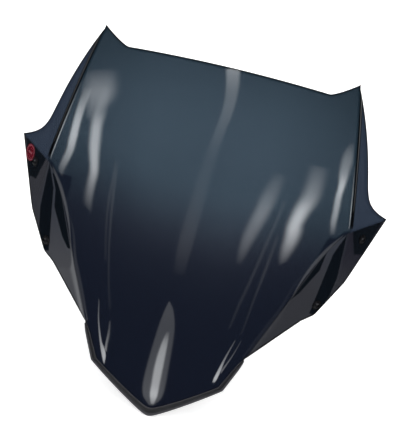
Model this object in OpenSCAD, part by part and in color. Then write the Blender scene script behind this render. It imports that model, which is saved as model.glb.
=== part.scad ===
// Motorcycle windshield screen: a moulded acrylic sheet with two folded-back wings, a rubber
// trim on its V-shaped base, a domed round badge, and four fixing sets of screw, washer,
// rubber well nut and threaded insert.
//
// The sheet is laid out in its own chord frame: x across, y up the chord, z towards the front.
// installed() then leans that frame back by the rake angle and moves the origin to the middle
// of the line between the two upper fixings.

/* [Rake] */
// Angle of the chord frame from horizontal, as installed
rake = 52; // [45:1:60]

/* [Sheet] */
// Thickness of the moulded sheet
sheet_t = 3.5; // [3:0.1:4]
// Height of the middle of the top edge above the lowest point of the trim
top_v = 433; // [428:1:438]
// How far the middle of the top edge stands in front of the base tip
top_lead = 45; // [35:1:55]
// Bow of the centre line in front of its own chord
bow = 62; // [50:1:70]
// Drop from the centre line to the side crease, across the widest part of the panel
crown = 38; // [30:1:45]

/* [Outline] */
// Half width of the base at its lower corners
corner_u = 80; // [76:1:86]
// Height of the lower corners
corner_v = 54.5; // [50:0.5:58]
// Height where the lower edge of a wing meets the base trim
wing_end_v = 99; // [94:1:104]
// Half width at the kink in the side crease
kink_u = 184.5; // [180:0.5:188]
// Height of the kink in the side crease
kink_v = 275.5; // [270:0.5:280]
// Half width at the pointed upper ears
ear_u = 158.5; // [152:0.5:166]
// Height of the pointed upper ears
ear_v = 451.5; // [446:0.5:458]
// Half width at the wing tips
tip_u = 227.5; // [224:0.5:234]
// Height of the wing tips
tip_v = 300.5; // [296:0.5:305]
// Half width at the soft corner in the wing's lower edge
knee_u = 194; // [191:1:197]
// Height of the soft corner in the wing's lower edge
knee_v = 213.5; // [210:0.5:217]
// Half width at the step in the wing's lower edge
step_u = 167.5; // [165:0.5:170]
// Height of the step in the wing's lower edge
step_v = 168; // [166:0.5:171]
// Half width where the inner fold of the wing reaches its lower edge
fold_end_u = 153.5; // [151:0.5:156]
// Height where the inner fold of the wing reaches its lower edge
fold_end_v = 158; // [155:0.5:161]

/* [Wing depths] */
// Fall of the upper wing towards the rear, per millimetre outward
wing_fall = 1.05; // [0.85:0.05:1.2]
// How far the soft corner lies behind the kink
knee_back = 28; // [24:1:32]
// How far the inner fold's lower end lies behind the kink
fold_back = 16; // [14:1:19]

/* [Base trim] */
// Wall of the rubber trim
trim_wall = 2.2; // [1.5:0.1:3]
// Width of the trim's lips on the sheet at the base tip
trim_lip_tip = 9; // [6:0.5:12]
// Width of the trim's lips on the sheet at its two upper ends
trim_lip_end = 3.5; // [3:0.5:6]

/* [Fixings] */
// Half width at the two upper fixings
fix_upper_u = 202; // [199:0.5:202]
// Height of the two upper fixings
fix_upper_v = 270; // [266:0.5:270]
// Half width at the two lower fixings
fix_lower_u = 167; // [166:0.5:168]
// Height of the two lower fixings
fix_lower_v = 181; // [180:0.5:182]
// Radius of the holes in the sheet
sheet_hole_r = 3; // [2.8:0.1:3.5]
// Shank radius of the screws (M5)
screw_r = 2.45; // [2.4:0.05:2.5]
// Shank length of the screws, below the head
screw_l = 16; // [14:0.5:17]
// Radius of the well nut's body, which goes through the vehicle's bracket
nut_r = 4.9; // [4.7:0.1:5.5]
// Length of the well nut's body, behind its flange
nut_l = 12; // [11:0.5:14]

/* [Badge] */
// Radius of the badge
badge_r = 10.5; // [9:0.5:10.5]
// Distance of the badge's centre from the middle of the screen, across
badge_u = 211.5; // [211.5:0.5:212]
// Height of the badge's centre
badge_v = 279.5; // [279.5:0.5:280.5]

/* [Hidden] */
corner = [corner_u, corner_v];
kink = [kink_u, kink_v];
ear = [ear_u, ear_v];
wing_tip = [tip_u, tip_v];
wing_knee = [knee_u, knee_v];
wing_step = [step_u, step_v];
wing_fold = [fold_end_u, fold_end_v];
fix_upper = [fix_upper_u, fix_upper_v];
fix_lower = [fix_lower_u, fix_lower_v];
badge_at = [badge_u, badge_v];

// Columns across the panel, and steps across a wing and down from the kink to the wing's end
cols = 24;
steps = 12;
// Rows from the corner to the wing's end, and from the kink to the ear
base_rows = 4;
ear_rows = 10;
row_end = base_rows;
row_kink = base_rows + steps;
row_ear = row_kink + ear_rows;
// Rays of the lower wing: to the tip, the knee, the step, the fold and the wing's end
rays_knee = 4;
rays_step = 8;
rays_fold = 9;
rays = 14;

fixing_names = ["upper_left", "upper_right", "lower_left", "lower_right"];

function unit(a) = a / norm(a);
function mix(a, b, t) = a + (b - a) * t;
function flip(p, side) = [side * p[0], p[1], p[2]];
// A straight ramp that starts at 0 with a soft bend, width wide
function ramp(x, width) = x < -width ? 0 : x > width ? x : pow(x + width, 2) / (4 * width);

// ---- the panel's surface ----
// Centre line: a straight lead to the top edge, with a parabola's bow
function centre_w(v) = let (x = v / top_v) top_lead * x + 4 * bow * x * (1 - x);
// A soft fold runs up from each lower corner and fades out; outside it the panel turns back
fold_turn = 0.35;
fold_fade_v = 310;
fold_soft = 14;
function soft_fold_u(v) = 65 + 0.2 * v;
function fold_strength(v) = let (x = max(0, 1 - v / fold_fade_v)) fold_turn * x * x * (3 - 2 * x);
function panel_w(u, v) = centre_w(v) - crown * pow(u / kink[0], 2)
    - fold_strength(v) * ramp(abs(u) - soft_fold_u(v), fold_soft);
function on_panel(u, v) = [u, v, panel_w(u, v)];

// ---- the panel's outline ----
// Side crease and lower side edge: straight, then a sweep out to the kink, then in to the ear
sweep_v = 231;
sweep_slope = 0.42;
sweep_u = corner[0] + sweep_slope * (sweep_v - corner[1]);
sweep_bend = (kink[0] - sweep_u - sweep_slope * (kink[1] - sweep_v)) / pow(kink[1] - sweep_v, 2);
ear_slope = -0.13;
ear_bend = (ear[0] - kink[0] - ear_slope * (ear[1] - kink[1])) / pow(ear[1] - kink[1], 2);
function side_u(v) = v < kink[1]
    ? corner[0] + sweep_slope * (v - corner[1]) + sweep_bend * pow(max(0, v - sweep_v), 2)
    : kink[0] + ear_slope * (v - kink[1]) + ear_bend * pow(v - kink[1], 2);
// V-shaped base with a small round at its tip
tip_round = 0.075;
base_curve = 0.09;
function base_v(u) = let (x = (sqrt(pow(u / corner[0], 2) + pow(tip_round, 2)) - tip_round)
        / (sqrt(1 + pow(tip_round, 2)) - tip_round))
    trim_wall + (corner[1] - trim_wall) * ((1 - base_curve) * x + base_curve * x * x);
// Top edge: a slight arch, with a scallop that rises to the ear
arch = 4.5;
scallop_u = 124;
scallop_power = 1.25;
scallop_rise = ear[1] - top_v + arch;
function top_edge_v(u) = top_v - arch * pow(u / ear[0], 2)
    + scallop_rise * pow(max(0, (abs(u) - scallop_u) / (ear[0] - scallop_u)), scallop_power);

// ---- rows and columns ----
side_v = [
    for (k = [0:base_rows - 1]) mix(corner[1], wing_end_v, k / base_rows),
    for (k = [0:steps - 1]) mix(wing_end_v, kink[1], k / steps),
    for (k = [0:ear_rows]) mix(kink[1], ear[1], k / ear_rows)];
// Columns stand closer together towards the sides
function col_c(i) = let (s = 2 * i / cols - 1) s * (1.3 - 0.3 * s * s);
function panel_point(i, j) = let (
        c = col_c(i), v = side_v[j], t = (v - corner[1]) / (ear[1] - corner[1]))
    on_panel(c * side_u(v), v + (1 - t) * (base_v(c * corner[0]) - corner[1])
        + t * (top_edge_v(c * ear[0]) - ear[1]));
function panel_normal(p) = unit([panel_w(p[0] - 1, p[1]) - panel_w(p[0] + 1, p[1]),
    panel_w(p[0], p[1] - 1) - panel_w(p[0], p[1] + 1), 2]);

// ---- the upper wing: ruled from the crease to a concave edge ----
flare_v = 7.9;
strip = 18.5;
strip_v = 144;
strip_power = 2.2;
function strip_u(v) = let (x = (v - wing_tip[1]) / strip_v)
    strip * (1 - pow(min(1, x), strip_power)) + (wing_tip[0] - side_u(wing_tip[1]) - strip)
        * exp(-(v - wing_tip[1]) / flare_v);
function wing_edge(v) = let (u = side_u(v), out = strip_u(v))
    [u + out, v, panel_w(u, v) - wing_fall * out];
function wing_row_v(j) = mix(wing_tip[1], ear[1], pow((j - row_kink) / ear_rows, 1.7));
function upper_wing_point(j, d) = let (v = side_v[j])
    mix(on_panel(side_u(v), v), wing_edge(wing_row_v(j)), d / steps);
function upper_wing_normal(j) = let (a = upper_wing_point(j, 0), b = upper_wing_point(j, steps),
        c = upper_wing_point(j + 1, 0))
    unit(cross(b - a, c - a));

// ---- the lower wing: facets that spread from the kink ----
at_kink = on_panel(kink[0], kink[1]);
at_tip = wing_edge(wing_tip[1]);
at_knee = [wing_knee[0], wing_knee[1], at_kink[2] - knee_back];
at_fold = [wing_fold[0], wing_fold[1], at_kink[2] - fold_back];
at_end = on_panel(side_u(wing_end_v), wing_end_v);
outer_facet = unit(cross(at_tip - at_kink, at_kink - at_knee));
middle_facet = unit(cross(at_knee - at_kink, at_kink - at_fold));
// Height of a facet's plane through the kink at a place in the chord frame
function facet_w(n, u, v) = at_kink[2] - (n[0] * (u - at_kink[0]) + n[1] * (v - at_kink[1])) / n[2];
at_step = [wing_step[0], wing_step[1], facet_w(middle_facet, wing_step[0], wing_step[1])];
function ray_end(k) = k <= rays_knee ? mix(at_tip, at_knee, k / rays_knee)
    : k <= rays_step ? mix(at_knee, at_step, (k - rays_knee) / (rays_step - rays_knee))
    : k <= rays_fold ? at_fold
    : mix(at_fold, at_end, (k - rays_fold) / (rays - rays_fold));
function crease_point(r) = panel_point(cols, row_kink - r);
function lower_wing_point(k, r) = let (
        t = r / steps, near = pow(max(0, k - rays_fold) / (rays - rays_fold), 2))
    mix(at_kink, ray_end(k), t) + near * (crease_point(r) - mix(at_kink, at_end, t));
function lower_wing_normal(k, r) = k == rays_knee ? unit(outer_facet + middle_facet)
    : k < rays_knee ? outer_facet
    : k < rays_fold ? middle_facet
    : let (a = lower_wing_point(k - (k > rays_fold ? 1 : 0), r), b = lower_wing_point(min(rays, k + 1), r),
        n = unit(cross(a - at_kink, at_kink - b)))
        k == rays_fold ? unit(n + middle_facet) : n;

// ---- all points of the front face with their normals: [point, normal] ----
function crease_normal(j) = let (p = panel_point(cols, j), n = panel_normal(p))
    j < row_end ? n
    : j == row_end ? unit(n + lower_wing_normal(rays - 1, steps))
    : j < row_kink ? unit(n + lower_wing_normal(rays - 1, row_kink - j))
    : j == row_kink ? unit(n + outer_facet + upper_wing_normal(j))
    : j < row_ear ? unit(n + upper_wing_normal(j))
    : unit(n + upper_wing_normal(j - 1));
panel_set = [for (j = [0:row_ear]) for (i = [0:cols]) let (p = panel_point(i, j))
    [p, i == cols ? crease_normal(j) : i == 0 ? flip(crease_normal(j), -1) : panel_normal(p)]];
function wing_set(side) = [
    for (j = [row_kink:row_ear - 1]) for (d = [1:steps])
        [flip(upper_wing_point(j, d), side),
            flip(j == row_kink ? unit(upper_wing_normal(j) + outer_facet) : upper_wing_normal(j), side)],
    for (k = [1:rays - 1]) for (r = [1:steps])
        [flip(lower_wing_point(k, r), side), flip(lower_wing_normal(k, r), side)]];
front_set = concat(panel_set, wing_set(1), wing_set(-1));

// ---- indices into front_set; side is 1 on the right and -1 on the left ----
panel_count = (cols + 1) * (row_ear + 1);
upper_count = ear_rows * steps;
wing_count = upper_count + (rays - 1) * steps;
front_count = panel_count + 2 * wing_count;
function panel_at(i, j) = j * (cols + 1) + i;
function crease_at(j, side) = panel_at(side > 0 ? cols : 0, j);
function wing_start(side) = panel_count + (side > 0 ? 0 : wing_count);
function upper_at(j, d, side) = d == 0 || j == row_ear ? crease_at(j, side)
    : wing_start(side) + (j - row_kink) * steps + d - 1;
function lower_at(k, r, side) = r == 0 ? crease_at(row_kink, side)
    : k == 0 ? upper_at(row_kink, r, side)
    : k == rays ? crease_at(row_kink - r, side)
    : wing_start(side) + upper_count + (k - 1) * steps + r - 1;

// A quad as two triangles, turned over for the left side
function quad(a, b, c, d, side) = side > 0 ? [[a, b, c], [a, c, d]] : [[c, b, a], [d, c, a]];
function real(faces) = [for (f = faces) if (f[0] != f[1] && f[1] != f[2] && f[2] != f[0]) f];
front_quads = [
    for (j = [0:row_ear - 1]) for (i = [0:cols - 1])
        quad(panel_at(i, j), panel_at(i, j + 1), panel_at(i + 1, j + 1), panel_at(i + 1, j), 1),
    for (side = [1, -1]) for (j = [row_kink:row_ear - 1]) for (d = [0:steps - 1])
        quad(upper_at(j, d, side), upper_at(j + 1, d, side), upper_at(j + 1, d + 1, side),
            upper_at(j, d + 1, side), side),
    for (side = [1, -1]) for (k = [0:rays - 1]) for (r = [0:steps - 1])
        quad(lower_at(k + 1, r, side), lower_at(k, r, side), lower_at(k, r + 1, side),
            lower_at(k + 1, r + 1, side), side)];
front_faces = real([for (q = front_quads) for (f = q) f]);
function side_loop(side) = [
    for (j = [0:row_end - 1]) crease_at(j, side),
    for (k = [rays:-1:0]) lower_at(k, steps, side),
    for (j = [row_kink + 1:row_ear - 1]) upper_at(j, steps, side)];
function turned(list) = [for (k = [len(list) - 1:-1:0]) list[k]];
rim_loop = concat(side_loop(1), [for (i = [cols:-1:0]) panel_at(i, row_ear)],
    turned(side_loop(-1)), [for (i = [1:cols - 1]) panel_at(i, 0)]);

module sheet_blank() {
    front = [for (p = front_set) p[0]];
    rear = [for (p = front_set) p[0] - sheet_t * p[1]];
    n = len(rim_loop);
    rim = [for (k = [0:n - 1]) let (a = rim_loop[k], b = rim_loop[(k + 1) % n])
        for (f = [[a, b, b + front_count], [a, b + front_count, a + front_count]]) f];
    polyhedron(points = concat(front, rear), faces = concat(front_faces,
        [for (f = front_faces) [f[2] + front_count, f[1] + front_count, f[0] + front_count]], rim));
}

// ---- the base trim: a channel swept along the sheet's lower edge ----
slot_gap = 0.1;
trim_path = concat(
    [for (k = [base_rows:-1:0]) let (v = mix(corner[1], wing_end_v - 3, k / base_rows))
        on_panel(-side_u(v), v)],
    [for (i = [1:cols - 1]) panel_point(i, 0)],
    [for (k = [0:base_rows]) let (v = mix(corner[1], wing_end_v - 3, k / base_rows))
        on_panel(side_u(v), v)]);
trim_last = len(trim_path) - 1;
// Outward direction in the sheet at a station, lengthened so that the trim keeps its width in bends
function trim_out(k) = let (
        p = trim_path[k], n = panel_normal(p),
        a = unit(cross(p - trim_path[max(0, k - 1)] + (k == 0 ? trim_path[1] - p : [0, 0, 0]), n)),
        b = unit(cross(trim_path[min(trim_last, k + 1)] - p
            + (k == trim_last ? p - trim_path[k - 1] : [0, 0, 0]), n)),
        m = unit(a + b))
    m / (m * a);
function trim_lip(v) = mix(trim_lip_tip, trim_lip_end, v / wing_end_v);
// A profile place: out from the sheet's edge, and up from its front face
function trim_point(k, out, up) = let (p = trim_path[k], q = p + out * trim_out(k))
    out < 0 ? on_panel(q[0], q[1]) + up * panel_normal(q) : q + up * panel_normal(p);
// The profile has a point halfway along each lip, so that the lips follow the sheet's curve
function trim_profile(lip) = let (w = trim_wall, g = slot_gap, t = sheet_t, half = (0.5 * w - lip) / 2) [
    [-lip, g], [-lip, 0.6 * w], [-lip + 0.5 * w, w], [half, w], [0, w], [0.7 * w, 0.7 * w],
    [w, 0], [w, -t], [0.7 * w, -t - 0.7 * w], [0, -t - w], [half, -t - w],
    [-lip + 0.5 * w, -t - w], [-lip, -t - 0.6 * w], [-lip, -t - g], [half, -t - g], [g, -t - g],
    [g, g], [half, g]];
// Triangles over the profile: the front lip, the web and the rear lip
trim_cap = [[0, 1, 2], [0, 2, 17], [2, 3, 17], [3, 4, 16], [3, 16, 17], [4, 5, 16], [5, 6, 16],
    [6, 7, 15], [6, 15, 16], [7, 8, 15], [8, 9, 15], [9, 10, 15], [10, 14, 15], [10, 11, 14],
    [11, 13, 14], [11, 12, 13]];

// ---- frames ----
fix_upper_w = facet_w(outer_facet, fix_upper[0], fix_upper[1]);
module installed() {
    rotate([rake, 0, 0]) translate([0, -fix_upper[1], -fix_upper_w]) children();
}
// Puts children on a facet, z along its outward normal
module on_facet(at, n) {
    translate([at[0], at[1], facet_w(n, at[0], at[1])])
        rotate([0, acos(n[2]), atan2(n[1], n[0])]) children();
}
module at_fixing(name) {
    left = name == "upper_left" || name == "lower_left";
    upper = name == "upper_left" || name == "upper_right";
    installed() mirror([left ? 1 : 0, 0, 0])
        on_facet(upper ? fix_upper : fix_lower, upper ? outer_facet : middle_facet) children();
}

module screen() {
    color([0.2, 0.24, 0.29]) difference() {
        installed() sheet_blank();
        for (name = fixing_names) at_fixing(name)
            translate([0, 0, -2 * sheet_t]) cylinder(r = sheet_hole_r, h = 3 * sheet_t, $fn = 48);
    }
}

module base_trim() {
    count = len(trim_profile(1));
    points = [for (k = [0:trim_last]) for (c = trim_profile(trim_lip(trim_path[k][1])))
        trim_point(k, c[0], c[1])];
    function at(k, c) = k * count + c % count;
    ends = [for (f = trim_cap) for (e = [[for (c = f) at(0, c)], turned([for (c = f) at(trim_last, c)])]) e];
    color([0.17, 0.16, 0.16]) installed() polyhedron(points = points, faces = concat(ends,
        [for (k = [0:trim_last - 1]) for (c = [0:count - 1])
            for (f = quad(at(k, c), at(k + 1, c), at(k + 1, c + 1), at(k, c + 1), 1)) f]));
}

// The badge sits on the outer facet of the left wing
module at_badge() {
    installed() mirror([1, 0, 0]) on_facet(badge_at, outer_facet) children();
}
disc_t = 0.4;
module badge_disc() {
    color([0.6, 0.08, 0.1]) at_badge() cylinder(r = badge_r, h = disc_t, $fn = 64);
}
dome_h = 1.3;
dome_r = badge_r - 0.3;
dome_rings = 8;
module badge_dome() {
    color([0.8, 0.3, 0.3, 0.5]) at_badge() translate([0, 0, disc_t]) rotate_extrude($fn = 64)
        polygon(concat([[0, 0]], [for (k = [0:dome_rings]) let (x = 1 - k / dome_rings)
            [dome_r * x, dome_h * (1 - x * x)]]));
}

// ---- one fixing set; z is outward and 0 is the sheet's front face ----
washer_t = 1;
washer_r = 6;
head_r = 4.75;
head_h = 2.75;
socket_r = 1.73;
socket_h = 1.6;
tip_chamfer = 0.8;
module screw(name) {
    ball = (head_r * head_r + head_h * head_h) / (2 * head_h);
    color([0.08, 0.08, 0.09]) at_fixing(name) translate([0, 0, washer_t]) difference() {
        union() {
            intersection() {
                translate([0, 0, head_h - ball]) sphere(r = ball, $fn = 64);
                cylinder(r = head_r, h = head_h, $fn = 48);
            }
            translate([0, 0, tip_chamfer - screw_l])
                cylinder(r = screw_r, h = screw_l - tip_chamfer + 0.5, $fn = 48);
            translate([0, 0, -screw_l])
                cylinder(r1 = screw_r - tip_chamfer, r2 = screw_r, h = tip_chamfer, $fn = 48);
        }
        translate([0, 0, head_h - socket_h]) cylinder(r = socket_r, h = 2 * socket_h, $fn = 6);
    }
}
module washer(name) {
    color([0.1, 0.1, 0.1]) at_fixing(name) rotate_extrude($fn = 64) polygon([
        [screw_r + 0.2, 0], [washer_r, 0], [washer_r, 0.6 * washer_t], [washer_r - 0.4, washer_t],
        [screw_r + 0.2, washer_t]]);
}
flange_r = 6.8;
flange_t = 1.6;
insert_r = 3.5;
insert_l = 6.5;
insert_lip = 0.7;
nut_chamfer = 0.6;
nut_end = -sheet_t - flange_t - nut_l;
module well_nut(name) {
    color([0.13, 0.13, 0.13]) at_fixing(name) rotate_extrude($fn = 64) polygon([
        [screw_r + 0.3, -sheet_t], [flange_r - 0.4, -sheet_t], [flange_r, -sheet_t - 0.4],
        [flange_r, -sheet_t - flange_t], [nut_r, -sheet_t - flange_t], [nut_r, nut_end + nut_chamfer],
        [nut_r - nut_chamfer, nut_end], [insert_r, nut_end], [insert_r, nut_end + insert_l - 1],
        [insert_r + insert_lip, nut_end + insert_l - 1], [insert_r + insert_lip, nut_end + insert_l],
        [screw_r + 0.3, nut_end + insert_l]]);
}
module insert(name) {
    color([0.75, 0.6, 0.3]) at_fixing(name) rotate_extrude($fn = 64) polygon([
        [screw_r + 0.05, nut_end], [insert_r, nut_end], [insert_r, nut_end + insert_l - 1],
        [insert_r + insert_lip, nut_end + insert_l - 1], [insert_r + insert_lip, nut_end + insert_l],
        [screw_r + 0.05, nut_end + insert_l]]);
}

screen();
base_trim();
badge_disc();
badge_dome();
for (name = fixing_names) {
    screw(name);
    washer(name);
    well_nut(name);
    insert(name);
}
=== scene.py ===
import math

import bpy
import numpy as np
from mathutils import Matrix, Vector


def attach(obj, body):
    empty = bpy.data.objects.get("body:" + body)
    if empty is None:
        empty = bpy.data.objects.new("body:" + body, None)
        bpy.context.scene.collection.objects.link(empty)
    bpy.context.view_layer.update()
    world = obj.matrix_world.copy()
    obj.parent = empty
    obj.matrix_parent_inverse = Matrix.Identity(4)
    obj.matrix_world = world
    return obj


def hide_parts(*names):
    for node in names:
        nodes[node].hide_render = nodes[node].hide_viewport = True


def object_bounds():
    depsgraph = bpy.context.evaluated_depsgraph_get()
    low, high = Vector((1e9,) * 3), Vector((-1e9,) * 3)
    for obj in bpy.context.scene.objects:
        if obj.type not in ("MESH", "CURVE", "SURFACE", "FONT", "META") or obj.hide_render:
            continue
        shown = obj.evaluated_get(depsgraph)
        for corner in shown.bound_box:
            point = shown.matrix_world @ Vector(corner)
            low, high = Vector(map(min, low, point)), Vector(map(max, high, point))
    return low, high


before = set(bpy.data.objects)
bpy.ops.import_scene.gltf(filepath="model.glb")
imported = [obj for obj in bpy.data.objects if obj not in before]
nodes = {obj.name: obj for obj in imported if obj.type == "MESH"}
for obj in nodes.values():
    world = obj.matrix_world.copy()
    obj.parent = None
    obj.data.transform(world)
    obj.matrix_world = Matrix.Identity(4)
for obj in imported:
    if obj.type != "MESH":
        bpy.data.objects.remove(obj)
cad_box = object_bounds()

# ---------------------------------------------------------------------------------------------
# The sheet's surface, in the part's own chord frame in millimetres: u across, v up the chord,
# w towards the front. These repeat the part's own values.
# ---------------------------------------------------------------------------------------------
RAKE = math.radians(52)
SHEET_T = 3.5
TOP_V, TOP_LEAD, BOW, CROWN = 433, 45, 62, 38
# Corners of the +X side as (u, v), and the height at which the lower wing runs out at the crease
CORNER, WING_END_V = (80, 54.5), 99
KINK, EAR, TIP = (184.5, 275.5), (158.5, 451.5), (227.5, 300.5)
KNEE, STEP, FOLD = (194, 213.5), (167.5, 168), (153.5, 158)
WING_FALL, KNEE_BACK, FOLD_BACK = 1.05, 28, 16
TRIM_WALL, LIP_TIP, LIP_END = 2.2, 9, 3.5
BADGE_R, BADGE_AT = 10.5, (211.5, 279.5)
FIX_UPPER = (202, 270)
# Soft fold up the panel from each lower corner: how far it turns, where it fades out, how soft it
# is, and where it runs
FOLD_TURN, FOLD_FADE_V, FOLD_SOFT = 0.35, 310, 14
FOLD_LINE_U, FOLD_LINE_LEAN = 65, 0.2
# Base: the rounding of its tip and the curve of its sides
TIP_ROUND, BASE_CURVE = 0.075, 0.09
# Top edge: the arch of its middle, where its scallops start, and how steeply they rise
ARCH, SCALLOP_U, SCALLOP_POWER = 4.5, 124, 1.25
# Upper wing: the strip's width and how it runs out upwards, and the flare towards the wing tip
STRIP_W, STRIP_V, STRIP_POWER, FLARE_V = 18.5, 144, 2.2, 7.9
# How widely the creases are rounded: side crease, upper to lower wing, outer facet, inner fold
CREASE_ROUND, WING_ROUND, FACET_ROUND, FOLD_ROUND = 2.1, 1.3, 5.0, 1.2
# The upper wing's surface is carried on below UPPER_V, rising, so that only the lower wing shows
# there. Below WING_START_V the wing's surface is lifted away, and the panel stands alone.
UPPER_V, UPPER_RISE = 240, 0.15
WING_START_V, WING_BLEND, WING_LIFT = 60, 40, 60
# Rise of the inner facet above the kink, which keeps it clear of the others
INNER_RISE = 0.27


def centre_w(v):
    x = v / TOP_V
    return TOP_LEAD * x + 4 * BOW * x * (1 - x)


def soft_ramp(x, width):
    """A straight ramp that starts at 0 with a soft bend."""
    return np.where(x < -width, 0, np.where(x > width, x, (x + width) ** 2 / (4 * width)))


def panel_w(u, v):
    x = np.maximum(0, 1 - v / FOLD_FADE_V)
    fold = FOLD_TURN * x * x * (3 - 2 * x)
    outside = np.abs(u) - (FOLD_LINE_U + FOLD_LINE_LEAN * v)
    return centre_w(v) - CROWN * (u / KINK[0]) ** 2 - fold * soft_ramp(outside, FOLD_SOFT)


# Side crease: straight, then a sweep out to the kink, then in to the ear
SWEEP_V, SLOPE = 231, 0.42
SWEEP_U = CORNER[0] + SLOPE * (SWEEP_V - CORNER[1])
SWEEP_BEND = (KINK[0] - SWEEP_U - SLOPE * (KINK[1] - SWEEP_V)) / (KINK[1] - SWEEP_V) ** 2
EAR_SLOPE = -0.13
EAR_BEND = (EAR[0] - KINK[0] - EAR_SLOPE * (EAR[1] - KINK[1])) / (EAR[1] - KINK[1]) ** 2


def side_low(v):
    return CORNER[0] + SLOPE * (v - CORNER[1]) + SWEEP_BEND * np.maximum(0, v - SWEEP_V) ** 2


def side_high(v):
    return KINK[0] + EAR_SLOPE * (v - KINK[1]) + EAR_BEND * (v - KINK[1]) ** 2


def side_u(v):
    return np.where(v < KINK[1], side_low(v), side_high(v))


def base_v(u):
    r = TIP_ROUND
    x = (np.sqrt((u / CORNER[0]) ** 2 + r * r) - r) / (math.sqrt(1 + r * r) - r)
    return TRIM_WALL + (CORNER[1] - TRIM_WALL) * ((1 - BASE_CURVE) * x + BASE_CURVE * x * x)


def top_edge_v(u):
    x = np.maximum(0, (np.abs(u) - SCALLOP_U) / (EAR[0] - SCALLOP_U))
    return TOP_V - ARCH * (u / EAR[0]) ** 2 + (EAR[1] - TOP_V + ARCH) * x ** SCALLOP_POWER


TIP_CREASE_U = float(side_high(TIP[1]))
END_U = float(side_low(WING_END_V))


def wing_out(v):
    """Width of the wing outside the side crease, from its outline."""
    x = np.clip((v - TIP[1]) / STRIP_V, 0, 1)
    flare = (TIP[0] - TIP_CREASE_U - STRIP_W) * np.exp(-(v - TIP[1]) / FLARE_V)
    strip = STRIP_W * (1 - x ** STRIP_POWER) + flare
    corners = [(END_U, WING_END_V), FOLD, STEP, KNEE, TIP]
    low = np.interp(v, [c[1] for c in corners], [c[0] for c in corners]) - side_u(v)
    return np.where(v > TIP[1], strip, low)


K3 = np.array([*KINK, float(panel_w(*KINK))])
TIP3 = np.array([*TIP, float(panel_w(TIP_CREASE_U, TIP[1])) - WING_FALL * (TIP[0] - TIP_CREASE_U)])
KNEE3 = np.array([*KNEE, K3[2] - KNEE_BACK])
FOLD3 = np.array([*FOLD, K3[2] - FOLD_BACK])
END3 = np.array([END_U, WING_END_V, float(panel_w(END_U, WING_END_V))])


def unit(a):
    return a / np.linalg.norm(a)


def unit_rows(a):
    return a / np.linalg.norm(a, axis=1, keepdims=True)


# Normals of the lower wing's outer and middle facets, which meet at the kink
OUTER = unit(np.cross(TIP3 - K3, K3 - KNEE3))
MIDDLE = unit(np.cross(KNEE3 - K3, K3 - FOLD3))


def plane_w(n, u, v):
    """Height of a facet's plane through the kink."""
    return K3[2] - (n[0] * (u - K3[0]) + n[1] * (v - K3[1])) / n[2]


def inner_w(u, v):
    """The wing's innermost face, ruled across from the lower crease to the fold or the lower edge."""
    row = np.clip(v, WING_END_V + 0.5, KINK[1] - 0.5)
    crease_u = side_low(row)
    crease_w = panel_w(crease_u, row)
    heights = [END3[1], FOLD[1], KINK[1]]
    far_u = np.interp(row, heights, [END3[0], FOLD[0], KINK[0]])
    far_w = np.interp(row, heights, [END3[2], FOLD3[2], K3[2]])
    slope = (far_w - crease_w) / (far_u - crease_u)
    return crease_w + slope * (u - crease_u) + INNER_RISE * np.maximum(0, v - row)


def soft_min(a, b, k):
    """The lower of two surfaces, with the crease between them rounded."""
    h = np.maximum(k - np.abs(a - b), 0)
    return np.minimum(a, b) - h * h / (4 * k)


def front_w(u, v):
    """Height of the moulded sheet's front face, with its creases rounded."""
    a = np.abs(u)
    upper_v = np.maximum(v, UPPER_V)
    crease_u = side_high(upper_v)
    upper = panel_w(crease_u, upper_v) - WING_FALL * (a - crease_u) + UPPER_RISE * (upper_v - v)
    lower = soft_min(plane_w(OUTER, a, v), plane_w(MIDDLE, a, v), FACET_ROUND)
    lower = soft_min(lower, inner_w(a, v), FOLD_ROUND)
    wing = soft_min(lower, upper, WING_ROUND)
    away = 1 - np.clip((v - WING_START_V) / WING_BLEND, 0, 1)
    return soft_min(panel_w(a, v), wing + WING_LIFT * away, CREASE_ROUND)


def front_normal(u, v):
    e = 0.35
    du = (front_w(u + e, v) - front_w(u - e, v)) / (2 * e)
    dv = (front_w(u, v + e) - front_w(u, v - e)) / (2 * e)
    n = np.stack([-du, -dv, np.ones_like(du)], axis=-1)
    return n / np.linalg.norm(n, axis=-1, keepdims=True)


FIX_W = float(plane_w(OUTER, *FIX_UPPER))
COS, SIN = math.cos(RAKE), math.sin(RAKE)
TO_ROW = np.array([[1, 0, 0], [0, COS, -SIN], [0, SIN, COS]])
ORIGIN = np.array([0, FIX_UPPER[1], FIX_W])


def to_row(p):
    """Chord frame in millimetres to the part's frame in metres."""
    return (np.asarray(p, float) - ORIGIN) @ TO_ROW.T * 0.001


def mesh_object(name, verts, faces):
    mesh = bpy.data.meshes.new(name)
    mesh.from_pydata([tuple(v) for v in verts], [], [tuple(int(i) for i in f) for f in faces])
    mesh.validate()
    mesh.update()
    mesh.polygons.foreach_set("use_smooth", [True] * len(mesh.polygons))
    obj = bpy.data.objects.new(name, mesh)
    bpy.context.scene.collection.objects.link(obj)
    return obj


def add_layer(obj, name, values):
    """Stores one number per vertex for the materials."""
    obj.data.attributes.new(name, "FLOAT", "POINT").data.foreach_set("value", values)


# ---------------------------------------------------------------------------------------------
# The sheet
# ---------------------------------------------------------------------------------------------
# Distances of the close columns beside a side crease, then the even columns of the panel's half
# and of a wing
NEAR = [0, 0.7, 1.4, 2.1, 2.9, 3.8, 5, 6.5, 8.5]
PANEL_COLS, WING_COLS = 46, 26
# A wing narrower than this has its close columns closer still
FULL_WING = 18
# Radius of the cut edge's rounding
EDGE_ROUND = 0.7


def rows_through(stops):
    """Row heights between (height, steps to the next height) stops, without the last height."""
    pairs = zip(stops[:-1], stops[1:])
    return np.concatenate([np.linspace(a, b, steps + 1)[:-1] for (a, steps), (b, _) in pairs])


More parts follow.
